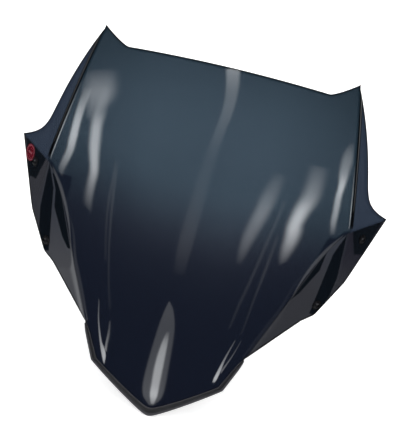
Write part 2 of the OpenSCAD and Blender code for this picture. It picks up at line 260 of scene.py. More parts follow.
def sheet_rows():
    """Row heights on the side crease: below the wings, beside the lower and the upper wing."""
    flare_v = 40
    below = rows_through([(CORNER[1], 5), (60, 13), (WING_END_V, 0)])
    lower = rows_through([(WING_END_V, 7), (106, 44), (240, 12), (266, 18), (284, 12), (TIP[1], 0)])
    flare = TIP[1] + flare_v * np.linspace(0, 1, 26)[:-1] ** 1.5
    upper = rows_through([(TIP[1] + flare_v, 35), (440, 8), (EAR[1], 0)])
    return below, lower, np.concatenate([flare, upper, [EAR[1]]])


def edge_distance(points, loop):
    """Distance of each point from the closed outline, in millimetres."""
    a, b = loop, np.roll(loop, -1, axis=0)
    d = b - a
    length = (d * d).sum(1) + 1e-12
    best = np.empty(len(points))
    batch = 2000                                                 # keeps the arrays small
    for k in range(0, len(points), batch):
        q = points[k:k + batch, None] - a[None]
        t = np.clip((q * d).sum(2) / length, 0, 1)
        best[k:k + batch] = np.sqrt(((q - t[..., None] * d) ** 2).sum(2)).min(1)
    return best


def panel_place(col, row_v):
    """Place (u, v) of a column, counted from the middle, on the row that meets the crease at row_v."""
    crease_u = float(side_u(row_v))
    if col < PANEL_COLS:
        s = col / (PANEL_COLS - 1)                               # a little closer towards the crease
        u = s * (1.12 - 0.12 * s * s) * (crease_u - NEAR[-1])
    else:
        u = crease_u - NEAR[len(NEAR) - 2 - (col - PANEL_COLS)]
    c = u / crease_u
    t = (row_v - CORNER[1]) / (EAR[1] - CORNER[1])
    base = float(base_v(c * CORNER[0])) - CORNER[1]
    top = float(top_edge_v(c * EAR[0])) - EAR[1]
    return u, row_v + (1 - t) * base + t * top


def panel_grid(rows, front):
    """Vertex numbers of the panel, from the -X crease to the +X crease."""
    half = PANEL_COLS + len(NEAR) - 1
    grid = np.zeros((len(rows), 2 * half - 1), int)
    for j, row_v in enumerate(rows):
        for col in range(half):
            u, v = panel_place(col, row_v)
            for side in (1, -1) if col else (1,):
                grid[j, half - 1 + side * col] = len(front)
                front.append((side * u, v))
    return grid


def wing_grid(side, rows, first, crease, front):
    """Vertex numbers of one wing, from the crease to its edge, on the rows from first up."""
    grid = np.zeros((len(rows), len(NEAR) - 1 + WING_COLS), int)
    for j in range(first, len(rows)):
        grid[j, :] = crease[j]
        width = float(wing_out(rows[j]))
        if j in (first, len(rows) - 1) or width < 1e-6:
            continue
        near = min(1, width / FULL_WING)
        steps = [d * near for d in NEAR] + list(np.linspace(NEAR[-1] * near, width, WING_COLS)[1:])
        for i in range(1, grid.shape[1]):
            grid[j, i] = len(front)
            front.append((side * (float(side_u(rows[j])) + steps[i]), rows[j]))
    return grid


def grid_quads(grid, first, turned):
    """Faces between a grid's rows. Sides that have shrunk to a point are dropped."""
    quads = []
    for j in range(first, len(grid) - 1):
        for i in range(grid.shape[1] - 1):
            quad = [grid[j, i], grid[j, i + 1], grid[j + 1, i + 1], grid[j + 1, i]]
            quad = quad[::-1] if turned else quad
            quad = [a for k, a in enumerate(quad) if a != quad[k - 1]]
            if len(set(quad)) >= 3:
                quads.append(tuple(quad))
    return quads


def rim_loop(panel, wings, first):
    """Vertex numbers once round the cut edge."""
    right = list(panel[:first, -1]) + list(wings[1][first:, -1])
    left = list(panel[:first, 0]) + list(wings[-1][first:, -1])
    loop = list(panel[0, 1:-1]) + right + list(panel[-1, 1:-1][::-1]) + left[::-1]
    return np.array([a for k, a in enumerate(loop) if a != loop[k - 1]])


def edge_outward(edge, normal):
    """Directions that point out of the sheet along its edge, in the sheet's own plane."""
    ahead, behind = np.roll(edge, -1, axis=0) - edge, edge - np.roll(edge, 1, axis=0)
    return unit_rows(unit_rows(np.cross(ahead, normal)) + unit_rows(np.cross(behind, normal)))


def make_sheet():
    below, lower, upper = sheet_rows()
    rows = np.concatenate([below, lower, upper])
    first = len(below)                                           # the row where the wings start
    front = []
    panel = panel_grid(rows, front)
    wings = {1: wing_grid(1, rows, first, panel[:, -1], front)}
    wings[-1] = wing_grid(-1, rows, first, panel[:, 0], front)
    quads = grid_quads(panel, 0, False) + grid_quads(wings[1], first, False)
    quads += grid_quads(wings[-1], first, True)
    rim = rim_loop(panel, wings, first)

    uv = np.array(front)
    face = np.column_stack([uv, front_w(uv[:, 0], uv[:, 1])])
    normal = front_normal(uv[:, 0], uv[:, 1])
    edge, edge_normal = face[rim].copy(), normal[rim]
    outward = edge_outward(edge, edge_normal)
    face[rim] = edge - EDGE_ROUND * outward
    points, rings = [face, face - SHEET_T * normal], [rim]
    for degrees, is_rear in ((30, 0), (60, 0), (90, 0), (90, 1), (60, 1), (30, 1)):
        angle = math.radians(degrees)
        inset, depth = EDGE_ROUND * (1 - math.sin(angle)), EDGE_ROUND * (1 - math.cos(angle))
        depth = SHEET_T - depth if is_rear else depth
        points.append(edge - inset * outward - depth * edge_normal)
        rings.append(2 * len(face) + (len(rings) - 1) * len(rim) + np.arange(len(rim)))
    rings.append(rim + len(face))
    faces = quads + [tuple(a + len(face) for a in quad[::-1]) for quad in quads]
    for a, b in zip(rings[:-1], rings[1:]):
        for k in range(len(rim)):
            ahead = (k + 1) % len(rim)
            faces.append((a[ahead], a[k], b[k], b[ahead]))
    obj = mesh_object("smoked_sheet", to_row(np.vstack(points)), faces)

    # what the material needs, in millimetres: the place in the chord frame, the distance from the
    # side crease (+ on the wing) and the distance from the cut edge
    flat = np.vstack([uv, uv] + [uv[rim]] * 6)
    from_rim = edge_distance(uv, uv[rim])
    add_layer(obj, "chord_u", np.abs(flat[:, 0]))
    add_layer(obj, "chord_v", flat[:, 1])
    add_layer(obj, "crease", np.abs(flat[:, 0]) - side_u(flat[:, 1]))
    add_layer(obj, "rim", np.concatenate([from_rim, from_rim, np.zeros(len(flat) - 2 * len(uv))]))
    return obj, edge, edge_normal


sheet, edge_p, edge_n = make_sheet()
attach(sheet, "root")
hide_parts("screen")


# ---------------------------------------------------------------------------------------------
# The rubber trim along the base: a ridge on its inner edge, a flat band and a round outer bead
# ---------------------------------------------------------------------------------------------
TRIM_TOP_V = WING_END_V - 2.9                                    # height of the trim's two ends
TRIM_TAPER = 16                                                  # length over which the ends slim down
SLOT_GAP = 0.1                                                   # air between the trim and the sheet


def bezier(a, b, c, d, count):
    """Points along a cubic curve, as tuples."""
    t = np.linspace(0, 1, count)[:, None]
    a, b, c, d = (np.array(q, float) for q in (a, b, c, d))
    curve = (1 - t) ** 3 * a + 3 * t * (1 - t) ** 2 * b + 3 * t * t * (1 - t) * c + t ** 3 * d
    return [tuple(q) for q in curve]


def trim_profile(lip):
    """Places (out, up): out from the sheet's edge, up from its front face."""
    w, g, t = TRIM_WALL, SLOT_GAP, SHEET_T
    r = min(1.25, 0.28 * lip)
    ridge = [(-lip, g), (-lip - 0.04, 0.5), (-lip + 0.1 * r, 0.95), (-lip + 0.35 * r, 1.2),
             (-lip + 0.65 * r, 1.2), (-lip + 0.9 * r, 0.98), (-lip + r + 0.1, 0.72)]
    band = [(-0.72 * lip + 0.1, 0.7), (-0.58 * lip, 0.74), (-0.46 * lip, 0.78), (-0.42 * lip, 0.9)]
    bead = bezier((-0.40 * lip, 1.05), (-0.36 * lip, 2.15), (0.98 * w, 2.75), (w, 0.1), 13)
    under = bezier((w, -t - 0.1), (0.98 * w, -t - 2.75), (-0.36 * lip, -t - 2.0),
                   (-0.45 * lip, -t - 1.2), 11)
    rear = [(-0.6 * lip, -t - 1.15), (-0.8 * lip, -t - 1.1), (-lip + 0.3, -t - 1.0), (-lip, -t - 0.6),
            (-lip, -t - g)]
    slot = [(-lip / 2, -t - g), (g, -t - g), (g, -t / 2), (g, g), (-lip / 2, g)]
    return ridge + band + bead + [(w, -t / 2)] + under + rear + slot


def trim_outward(path, normal, keys):
    """Outward vectors at the key stations, lengthened so that the trim keeps its width in bends."""
    vectors = []
    for i, k in enumerate(keys):
        sides = []
        if i < len(keys) - 1:
            sides.append(unit(np.cross(path[k + (keys[i + 1] - k) // 2] - path[k], normal[k])))
        if i:
            sides.append(unit(np.cross(path[k] - path[keys[i - 1] + (k - keys[i - 1]) // 2], normal[k])))
        middle = unit(sides[0] + sides[-1])
        vectors.append(middle / (middle @ sides[0]))
    return np.array(vectors)


def loft_faces(stations, size):
    """Faces of a closed profile with size points, lofted through its stations, with both ends."""
    faces = []
    for k in range(stations - 1):
        for c in range(size):
            ahead = (c + 1) % size
            faces.append((k * size + c, k * size + ahead, (k + 1) * size + ahead, (k + 1) * size + c))
    faces.append(tuple(range(size))[::-1])
    faces.append(tuple(range((stations - 1) * size, stations * size)))
    return faces


def make_trim():
    above = edge_p[:, 1] > TRIM_TOP_V
    start = len(above) - int(np.argmax(above[::-1]))
    end = int(np.argmax(above[:len(above) // 2]))
    order = np.concatenate([np.arange(start, len(above)), np.arange(end)])
    path, normal = edge_p[order], edge_n[order]
    run = np.concatenate([[0], np.cumsum(np.linalg.norm(np.diff(path, axis=0), axis=1))])
    left, right = (int(np.argmin(np.abs(path[:, 0] - u) + np.abs(path[:, 1] - CORNER[1])))
                   for u in (-CORNER[0], CORNER[0]))
    keys = [0, left, int(np.argmin(path[:, 1])), right, len(path) - 1]
    vectors = trim_outward(path, normal, keys)
    out = np.column_stack([np.interp(run, run[keys], vectors[:, c]) for c in range(3)])

    # at its ends the trim has a little under half of its width and about 40 % of its height
    ends = np.minimum(1.0, (np.minimum(run, run[-1] - run) + 1.5) / TRIM_TAPER)
    slim = 1 - (1 - ends[:, None]) ** 2                          # 1 away from the ends, less at them
    lips = LIP_TIP + (LIP_END - LIP_TIP) * path[:, 1] / WING_END_V
    profile = np.array([trim_profile(lip) for lip in lips])      # station, point, (out, up)
    o, up = profile[..., 0], profile[..., 1]
    o = np.where(np.abs(o) > 1.1 * SLOT_GAP, o * (0.35 + 0.65 * slim), o)
    under = np.where(up < -SHEET_T - SLOT_GAP, up + SHEET_T + SLOT_GAP, 0)
    proud = np.where(up > SLOT_GAP, up - SLOT_GAP, under)
    up = up - proud * 0.75 * (1 - slim)

    # inside the edge the trim follows the sheet's face, outside it the edge's own normal
    place = path[:, None] + o[..., None] * out[:, None]
    u, v = place[..., 0].ravel(), place[..., 1].ravel()
    on_sheet = np.column_stack([u, v, front_w(u, v)]) + up.reshape(-1, 1) * front_normal(u, v)
    beyond = (place + up[..., None] * normal[:, None]).reshape(-1, 3)
    verts = np.where(o.reshape(-1, 1) < 0, on_sheet, beyond)
    obj = mesh_object("base_edge_trim", to_row(verts), loft_faces(len(path), profile.shape[1]))
    # -1 at the inner lip, 0 at the sheet's edge, + on the outer bead
    add_layer(obj, "across", (profile[..., 0] / lips[:, None]).ravel())
    return obj


trim = make_trim()
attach(trim, "root")
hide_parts("base_trim")


# ---------------------------------------------------------------------------------------------
# The badge: an enamel plate with a raised ring and bar under its clear dome
# ---------------------------------------------------------------------------------------------
BADGE_N = np.array([-OUTER[0], OUTER[1], OUTER[2]])
BADGE_X = unit(np.cross([0, 1, 0], BADGE_N))
BADGE_Y = np.cross(BADGE_N, BADGE_X)
BADGE_O = np.array([-BADGE_AT[0], BADGE_AT[1], float(plane_w(OUTER, *BADGE_AT))])


def on_badge(points):
    p = np.asarray(points, float)
    return to_row(BADGE_O + p[:, :1] * BADGE_X + p[:, 1:2] * BADGE_Y + p[:, 2:] * BADGE_N)


def lathe(name, profile, closed, segments=128):
    """A round piece about the badge's axis, from a profile of (radius, height) points."""
    verts, faces, rings = [], [], []
    for r, z in profile:
        if r < 1e-6:
            rings.append([len(verts)])
            verts.append((0, 0, z))
        else:
            rings.append(list(range(len(verts), len(verts) + segments)))
            a = np.linspace(0, 2 * math.pi, segments, endpoint=False)
            verts += [(r * math.cos(t), r * math.sin(t), z) for t in a]
    pairs = list(zip(rings[:-1], rings[1:])) + ([(rings[-1], rings[0])] if closed else [])
    for a, b in pairs:
        for k in range(segments):
            k2 = (k + 1) % segments
            if len(a) == 1:
                faces.append((a[0], b[k2], b[k]))
            elif len(b) == 1:
                faces.append((a[k], a[k2], b[0]))
            else:
                faces.append((a[k], a[k2], b[k2], b[k]))
    return mesh_object(name, on_badge(verts), faces)


R = BADGE_R
badge_plate = lathe("badge_enamel", [
    (0, 0.02), (R - 0.25, 0.02), (R - 0.06, 0.08), (R, 0.18), (R - 0.03, 0.28), (R - 0.12, 0.36),
    (R - 0.3, 0.39), (R - 0.48, 0.36), (R - 0.56, 0.28), (R - 0.62, 0.25), (R - 2.5, 0.25),
    (R - 5, 0.24), (0, 0.24)], False)
badge_ring = lathe("badge_ring", [
    (R - 2.35, 0.2), (R - 1.35, 0.2), (R - 1.3, 0.32), (R - 1.42, 0.38), (R - 1.85, 0.39),
    (R - 2.28, 0.38), (R - 2.4, 0.32)], True)


def make_bar():
    """A raised bar with round ends across the middle of the badge."""
    outline = []
    length, half, turn = 4.6, 1.25, math.radians(-18)
    for angle in np.radians(np.linspace(-90, 90, 15)):
        outline.append((length - half + half * math.cos(angle), half * math.sin(angle)))
    outline += [(-x, -y) for x, y in outline]
    verts = []
    levels = [(0, 0.2), (0, 0.33), (0.1, 0.38), (0.25, 0.39)]    # (inset, height)
    for inset, z in levels:
        for x, y in outline:
            centre = math.copysign(length - half, x)
            k = 1 - inset / half
            x, y = centre + (x - centre) * k, y * k
            verts.append((x * math.cos(turn) - y * math.sin(turn),
                          x * math.sin(turn) + y * math.cos(turn), z))
    return mesh_object("badge_bar", on_badge(verts), loft_faces(len(levels), len(outline)))


badge_bar = make_bar()
for piece in (badge_plate, badge_ring, badge_bar):
    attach(piece, "root")
    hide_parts("badge_disc")


# ---------------------------------------------------------------------------------------------
# Materials
# ---------------------------------------------------------------------------------------------
def material(name):
    """A new material, the Nodes of its tree and its output node."""
    mat = bpy.data.materials.new(name)
    mat.use_nodes = True
    mat.node_tree.nodes.clear()
    n = Nodes(mat.node_tree)
    return mat, n, n.new("ShaderNodeOutputMaterial")


class Nodes:
    """Short names for the nodes of one tree."""

    def __init__(self, tree):
        self.tree = tree

    def new(self, kind, inputs=None, **values):
        node = self.tree.nodes.new(kind)
        for key, value in values.items():
            setattr(node, key, value)
        for key, value in (inputs or {}).items():
            self.put(node.inputs[key], value)
        return node

    def put(self, socket, value):
        if isinstance(value, bpy.types.NodeSocket):
            self.tree.links.new(value, socket)
        else:
            socket.default_value = value

    def math(self, op, a, b=None):
        node = self.new("ShaderNodeMath", operation=op)
        self.put(node.inputs[0], a)
        if b is not None:
            self.put(node.inputs[1], b)
        return node.outputs[0]

    def plus(self, a, b):
        return self.math("ADD", a, b)

    def minus(self, a, b):
        return self.math("SUBTRACT", a, b)

    def times(self, a, b):
        return self.math("MULTIPLY", a, b)

    def most(self, a, b):
        return self.math("MAXIMUM", a, b)

    def dimmed(self, colour, factor):
        return self.new("ShaderNodeVectorMath", {0: colour, 1: factor}, operation="MULTIPLY").outputs[0]

    def step(self, value, low, high, to_low=0.0, to_high=1.0):
        """A soft step from to_low at low to to_high at high."""
        inputs = {"Value": value, "From Min": low, "From Max": high, "To Min": to_low, "To Max": to_high}
        return self.new("ShaderNodeMapRange", inputs, interpolation_type="SMOOTHSTEP").outputs["Result"]

    def step_linear(self, value, low, high):
        inputs = {"Value": value, "From Min": low, "From Max": high}
        return self.new("ShaderNodeMapRange", inputs).outputs["Result"]

    def mix(self, factor, a, b):
        node = self.new("ShaderNodeMix", data_type="RGBA")
        self.put(node.inputs[0], factor)
        self.put(node.inputs[6], a)
        self.put(node.inputs[7], b)
        return node.outputs[2]

    def noise(self, vector, scale, detail=3.0, rough=0.5):
        inputs = {"Vector": vector, "Scale": scale, "Detail": detail, "Roughness": rough}
        return self.new("ShaderNodeTexNoise", inputs).outputs["Fac"]


def rgb(r, g, b):
    return (r, g, b, 1.0)


def attribute(n, name):
    return n.new("ShaderNodeAttribute", attribute_name=name).outputs["Fac"]


def line_side(n, u, v, a, b):
    """Signed distance of (u, v) from the line a-b, positive on its left, in millimetres."""
    d = np.array(b, float) - np.array(a, float)
    d /= np.linalg.norm(d)
    nx, ny = -d[1], d[0]
    t = n.plus(n.times(u, nx), n.times(v, ny))
    return n.minus(t, nx * a[0] + ny * a[1])


def colour_ramp(n, value, low, high, stops, interpolation):
    """A colour ramp through (place, grey level) stops between low and high."""
    node = n.new("ShaderNodeValToRGB", {"Fac": n.step_linear(value, low, high)})
    node.color_ramp.interpolation = interpolation
    points = node.color_ramp.elements
    while len(points) < len(stops):
        points.new(0.5)
    for point, (place, level) in zip(points, stops):
        point.position = (place - low) / (high - low)
        point.color = (level, level, level, 1)
    return node.outputs["Color"]


def ramp(n, value, low, high, stops):
    """A smooth curve through (place, level) stops between low and high."""
    return colour_ramp(n, value, low, high, stops, "B_SPLINE")


def curve(n, x, points):
    """Piecewise straight curve through (x, value) points, for values between 100 and 250."""
    low, span = 100, 150
    stops = [(place, (value - low) / span) for place, value in points]
    grey = colour_ramp(n, x, points[0][0], points[-1][0], stops, "LINEAR")
    return n.plus(n.times(grey, span), low)


def inside(n, *sides):
    """1 where every one of the given distances is positive, with an edge about 2 mm soft."""
    out = None
    for side in sides:
        one = n.step(side, -1.0, 1.0)
        out = one if out is None else n.times(out, one)
    return out


# The acrylic's black print, its painted shade and its smoke tint, in millimetres of the chord frame, u on
# both sides.
# The long black band on the wing: the (v, u) of its outer and inner edge, and its foot
BAND_OUT = [(166, 168), (195, 180), (219, 183.5), (270, 182)]
BAND_IN = [(166, 160.5), (207, 166), (245, 171), (270, 181)]
BAND_FOOT_V = 169
# Painted shade in a wedge on the wing beside the crease: the (v, u) of its outer edge, its foot and its
# top
WEDGE_OUT = [(177, 136), (191, 147.5), (223, 165), (244, 168), (262, 176)]
WEDGE_V = (179, 262)
# The black corner by the wing tip: it lies to the left of these lines of (u, v)
CORNER_LINES = [((187.5, 278), (197, 249)), ((196, 250), (207, 252)), ((207, 252), (220, 290))]
# Width of the thin black line that carries the panel's tongue on to the kink
THIN_TONGUE = 4.5
# (height, cover) of the black fade over the panel's lower middle
FADE = [(40, 1), (110, 0.97), (150, 0.92), (172, 0.87), (196, 0.78), (217, 0.66), (240, 0.42),
        (262, 0.22), (284, 0.06), (300, 0)]
# (v, level) of the smoke towards the top edge, and the share of light that the clearest smoke passes
TOP_TINT = [(300, 0.94), (350, 1.0), (400, 0.92), (452, 0.66)]
CLEARNESS = 0.172


class Place:
    """Where on the sheet a shading point is, as sockets of one material."""

    def __init__(self, n):
        self.pos = n.new("ShaderNodeTexCoord").outputs["Object"]
        x = n.new("ShaderNodeSeparateXYZ", {0: self.pos}).outputs["X"]
        self.x, self.right = x, n.step(x, -0.002, 0.002)         # right is 1 on the +X side
        self.u, self.v = attribute(n, "chord_u"), attribute(n, "chord_v")
        self.crease, self.rim = attribute(n, "crease"), attribute(n, "rim")
        # 1 on the wings below the line from kink to tip
        lower = n.step(line_side(n, self.u, self.v, KINK, TIP), -1.2, -0.2, 1.0, 0.0)
        self.lower = n.times(lower, n.step(self.crease, -0.5, 0.7))


def wing_print_and_shade(n, at, band_out):
    """Black on the lower wings: a long printed band, a printed corner by the tip and a wedge of painted
    shade by the crease.
    """
    band = inside(n, n.minus(at.u, curve(n, at.v, BAND_IN)), n.minus(band_out, at.u),
                  n.minus(at.v, BAND_FOOT_V))
    # the wedge is painted shade, the dark that the rounded crease shows beside it, narrower on the +X
    # side
    wedge_out = n.minus(curve(n, at.v, WEDGE_OUT), n.times(at.right, 5))
    wedge = inside(n, n.minus(wedge_out, at.u), n.minus(at.crease, 1.5), n.minus(at.v, WEDGE_V[0]),
                   n.minus(WEDGE_V[1], at.v))
    corner = inside(n, *[line_side(n, at.u, at.v, a, b) for a, b in CORNER_LINES])
    return n.times(at.lower, n.most(n.most(band, wedge), corner))


def panel_print(n, at):
    """Black on the panel: a fade over the lower middle and a tongue beside the crease."""
    depth = n.times(at.crease, -1)
    size = n.step(at.x, -0.002, 0.002, 0.66, 0.36)               # the tongue is smaller on the +X side
    tongue = inside(n, n.minus(n.times(n.minus(at.v, 229), size), depth), n.minus(at.v, 230))
    tongue = n.times(tongue, n.step(at.v, 262, 267, 1.0, 0.0))
    thin = inside(n, n.minus(THIN_TONGUE, depth), n.minus(at.v, 256))
    tongue = n.most(tongue, n.times(thin, n.step(at.v, 272, 280, 1.0, 0.0)))
    # the fade is higher at the sides, with a slow wave in its height
    wave = n.times(n.minus(n.noise(at.pos, 9, 2), 0.5), 14)
    height = n.plus(n.plus(at.v, wave), n.step(at.u, 30, 150, 7, -20))
    height = n.plus(height, n.step(at.x, -0.05, 0.06, 0, 8))
    fade = ramp(n, height, FADE[0][0], FADE[-1][0], FADE)
    return n.times(n.most(fade, n.times(tongue, 0.9)), n.step(at.crease, -0.5, 0.5, 1.0, 0.0))


def wing_tint_and_reflection(n, at, band_out):
    """Lower wings: smoke colour under a painted reflection, darker beyond the band and on the +X side
    near the foot.
    """
    # painted reflection: the pale grey is reflected light, paler low down, dimmer beyond the band and on
    # the +X side
    pale = n.mix(n.step(at.v, 150, 235), rgb(0.0440, 0.0455, 0.0520), rgb(0.0265, 0.0295, 0.0385))
    beyond = n.mix(at.right, rgb(0.0235, 0.0245, 0.0300), rgb(0.0112, 0.0116, 0.0175))
    pale = n.mix(n.step(n.minus(at.u, band_out), -2, 3), pale, beyond)
    return n.mix(n.times(at.right, n.step(at.v, 260, 190)), pale, rgb(0.0240, 0.0250, 0.0300))


def smoke_tint(n, at, band_out):
    """Smoke colour of the whole sheet, and its level from the middle to the top and the sides."""
    haze = n.noise(at.pos, 14, 3)
    tint = n.mix(haze, rgb(0.0118, 0.0240, 0.0362), rgb(0.0152, 0.0292, 0.0428))
    tint = n.mix(n.step(at.v, 205, 300), rgb(0.0170, 0.0205, 0.0320), tint)
    high = ramp(n, at.v, TOP_TINT[0][0], TOP_TINT[-1][0], TOP_TINT)
    level = n.times(high, n.step(at.u, 60, 185, 1.04, 0.80))
    tint = n.dimmed(tint, level)
    wing = n.mix(haze, rgb(0.0150, 0.0225, 0.0375), rgb(0.0190, 0.0270, 0.0440))
    tint = n.mix(n.step(at.crease, -0.5, 1.0), tint, wing)
    return n.mix(at.lower, tint, wing_tint_and_reflection(n, at, band_out)), level


def painted_shade_lines(n, at):
    """1, and less where shade is painted in dark lines along the side creases and the cut edge."""
    lower = n.math("ABSOLUTE", n.minus(at.crease, 0.2))
    upper = n.math("ABSOLUTE", n.minus(at.crease, 1.3))
    lower, upper = n.step(lower, 0.4, 1.2, 0.6, 1.0), n.step(upper, 1.5, 2.4, 0.03, 1.0)
    crease = n.mix(n.step(at.v, 276, 284), lower, upper)
    return n.times(crease, n.step(at.rim, 1.2, 2.6, 0.08, 1.0))


def acrylic_material():
    mat, n, out = material("smoked_acrylic")
    at = Place(n)
    band_out = curve(n, at.v, BAND_OUT)
    mask = n.most(wing_print_and_shade(n, at, band_out), panel_print(n, at))
    tint, level = smoke_tint(n, at, band_out)
    # painted shade: dark lines along the rounded creases and the cut edge, in the colour and in the
    # see-through
    shade = painted_shade_lines(n, at)
    black = n.mix(n.step(at.crease, -1, 1), rgb(0.0040, 0.0059, 0.0126), rgb(0.0014, 0.0028, 0.0050))
    base = n.dimmed(n.mix(mask, tint, black), shade)
    clearness = n.times(n.minus(1.0, mask), n.minus(1.0, n.times(at.lower, 0.8)))
    clearness = n.times(clearness, n.times(shade, level))
    clearness = n.times(clearness, n.step(at.crease, -0.5, 1.0, 1.0, 0.62))
    alpha = n.minus(1.0, n.times(clearness, CLEARNESS))
    rough = n.plus(0.026, n.times(n.noise(at.pos, 60, 4), 0.02))
    bsdf = n.new("ShaderNodeBsdfPrincipled", {"Base Color": base, "Roughness": rough, "IOR": 1.49})
    clear = n.new("ShaderNodeBsdfTransparent", {"Color": rgb(0.78, 0.89, 1.0)})
    mixer = n.new("ShaderNodeMixShader", {0: alpha, 1: clear.outputs[0], 2: bsdf.outputs[0]})
    n.put(out.inputs["Surface"], mixer.outputs[0])
    return mat


def simple_material(name, dark, light, rough, scale, metallic=0.0, bump=0.0, ior=1.45, grain=None):
    """A material with colour between dark and light in spots, a little uneven in its gloss."""
    mat, n, out = material(name)
    pos = n.new("ShaderNodeTexCoord").outputs["Object"]
    spots = n.noise(pos, scale, 4, 0.6)
    bsdf = n.new("ShaderNodeBsdfPrincipled", {
        "Base Color": n.mix(n.step(spots, 0.3, 0.7), rgb(*dark), rgb(*light)),
        "Roughness": n.step(n.noise(pos, scale * 2.3, 3), 0.2, 0.8, rough - 0.06, rough + 0.08),
        "Metallic": metallic, "IOR": ior})
    if bump:
        height = n.noise(pos, grain or scale * 6, 3)
        bumps = n.new("ShaderNodeBump", {"Height": height, "Strength": bump, "Distance": 0.0004})
        n.put(bsdf.inputs["Normal"], bumps.outputs[0])
    n.put(out.inputs["Surface"], bsdf.outputs[0])
    return mat


def trim_material():
    """The trim's rubber with a painted sheen, paler on its outer bead and on its inner lip."""
    mat = simple_material("trim_rubber", (0.0060, 0.0064, 0.0088), (0.0105, 0.0110, 0.0140), 0.42, 90,
                          bump=0.25, grain=900)
    n = Nodes(mat.node_tree)
    shader = next(node for node in mat.node_tree.nodes if node.type == "BSDF_PRINCIPLED")
    across = attribute(n, "across")
    # painted sheen: paler lilac-grey where the round outer bead and the inner ridge catch a highlight
    painted_sheen = n.most(n.step(across, -0.36, -0.12), n.step(across, -0.90, -0.84, 0.7, 0.0))
    plain = shader.inputs["Base Color"].links[0].from_socket
    n.put(shader.inputs["Base Color"], n.mix(painted_sheen, plain, rgb(0.038, 0.037, 0.044)))
    return mat


def lens_material():
    """Clear resin of the badge's dome."""
    mat, n, out = material("clear_resin")
    pos = n.new("ShaderNodeTexCoord").outputs["Object"]
    bsdf = n.new("ShaderNodeBsdfPrincipled", {
        "Base Color": n.mix(n.noise(pos, 300, 2), rgb(0.10, 0.006, 0.012), rgb(0.14, 0.010, 0.018)),
        "Roughness": n.step(n.noise(pos, 500, 3), 0.2, 0.8, 0.04, 0.09), "IOR": 1.5, "Alpha": 0.10})
    n.put(out.inputs["Surface"], bsdf.outputs[0])
    return mat


def give(obj, mat):
    obj.data.materials.clear()
    obj.data.materials.append(mat)


give(sheet, acrylic_material())
give(trim, trim_material())
steel = simple_material("black_steel", (0.002, 0.002, 0.003), (0.004, 0.004, 0.006), 0.30, 260,
                        metallic=0.1, bump=0.1, ior=1.4)
nylon = simple_material("black_nylon", (0.001, 0.001, 0.002), (0.003, 0.003, 0.004), 0.55, 200,
                        bump=0.1, ior=1.3)
nut_rubber = simple_material("nut_rubber", (0.016, 0.016, 0.016), (0.028, 0.027, 0.027), 0.62, 160,
                             bump=0.3, grain=1100)
brass = simple_material("turned_brass", (0.50, 0.35, 0.13), (0.62, 0.45, 0.18), 0.3, 300,
                        metallic=1.0, bump=0.15)
enamel = simple_material("red_enamel", (0.080, 0.003, 0.009), (0.120, 0.006, 0.016), 0.22, 420)
satin = simple_material("badge_satin_metal", (0.20, 0.055, 0.075), (0.27, 0.085, 0.11), 0.32, 600,
                        metallic=0.3, bump=0.1)
give(badge_plate, enamel)
give(badge_ring, satin)
give(badge_bar, satin)

# The materials of the CAD pieces, by the start of their names
CAD_MATERIALS = {"screw_": steel, "washer_": nylon, "well_nut_": nut_rubber, "insert_": brass,
                 "badge_dome": lens_material()}
for name, obj in nodes.items():
    for start, mat in CAD_MATERIALS.items():
        if name.startswith(start):
            for slot in obj.material_slots:
                slot.material = mat


# ---------------------------------------------------------------------------------------------
# Floor, camera, light
# ---------------------------------------------------------------------------------------------
def make_floor(half, z):
    """A pale floor that the glossy sheet doesn't reflect."""
    obj = mesh_object("floor", [(-half, -half, z), (half, -half, z), (half, half, z), (-half, half, z)],
                      [(0, 1, 2, 3)])
    mat, n, out = material("floor_paint")
    bsdf = n.new("ShaderNodeBsdfPrincipled", {
        "Base Color": rgb(0.9, 0.9, 0.9), "Roughness": 0.8,
        "Emission Color": rgb(1, 1, 1), "Emission Strength": 0.45})
    n.put(out.inputs["Surface"], bsdf.outputs[0])
    obj.data.materials.append(mat)
    obj.visible_glossy = False
    return obj


floor = make_floor(9, cad_box[0][2])


# The camera's lens, place, target and tilt, fitted to the outline in the photograph
CAMERA_LENS = 137.0
CAMERA_AT = Vector((0.0499, -1.5637, 1.2547))
CAMERA_AIM = Vector((0.0072, -0.0175, -0.0132))
CAMERA_ROLL = math.radians(12.44)


def make_camera():
    data = bpy.data.cameras.new("camera")
    data.lens = CAMERA_LENS
    data.sensor_width = 36
    data.clip_end = 50
    obj = bpy.data.objects.new("camera", data)
    bpy.context.scene.collection.objects.link(obj)
    back = (CAMERA_AT - CAMERA_AIM).normalized()
    level_right = Vector((0, 0, 1)).cross(back).normalized()
    level_up = back.cross(level_right)
    right = level_right * math.cos(CAMERA_ROLL) + level_up * math.sin(CAMERA_ROLL)
    turn = Matrix((right, back.cross(right), back)).transposed().to_4x4()
    obj.matrix_world = Matrix.Translation(CAMERA_AT) @ turn
    bpy.context.scene.camera = obj


def make_world():
    """White all round, but nearly black in reflections."""
    world = bpy.data.worlds.new("studio")
    world.use_nodes = True
    bpy.context.scene.world = world
    world.node_tree.nodes.clear()
    n = Nodes(world.node_tree)
    out = n.new("ShaderNodeOutputWorld")
    path = n.new("ShaderNodeLightPath")
    level = n.plus(0.9, n.times(path.outputs["Is Glossy Ray"], -0.86))
    bg = n.new("ShaderNodeBackground", {"Color": rgb(1, 1, 1), "Strength": level})
    n.put(out.inputs["Surface"], bg.outputs[0])


make_camera()
make_world()


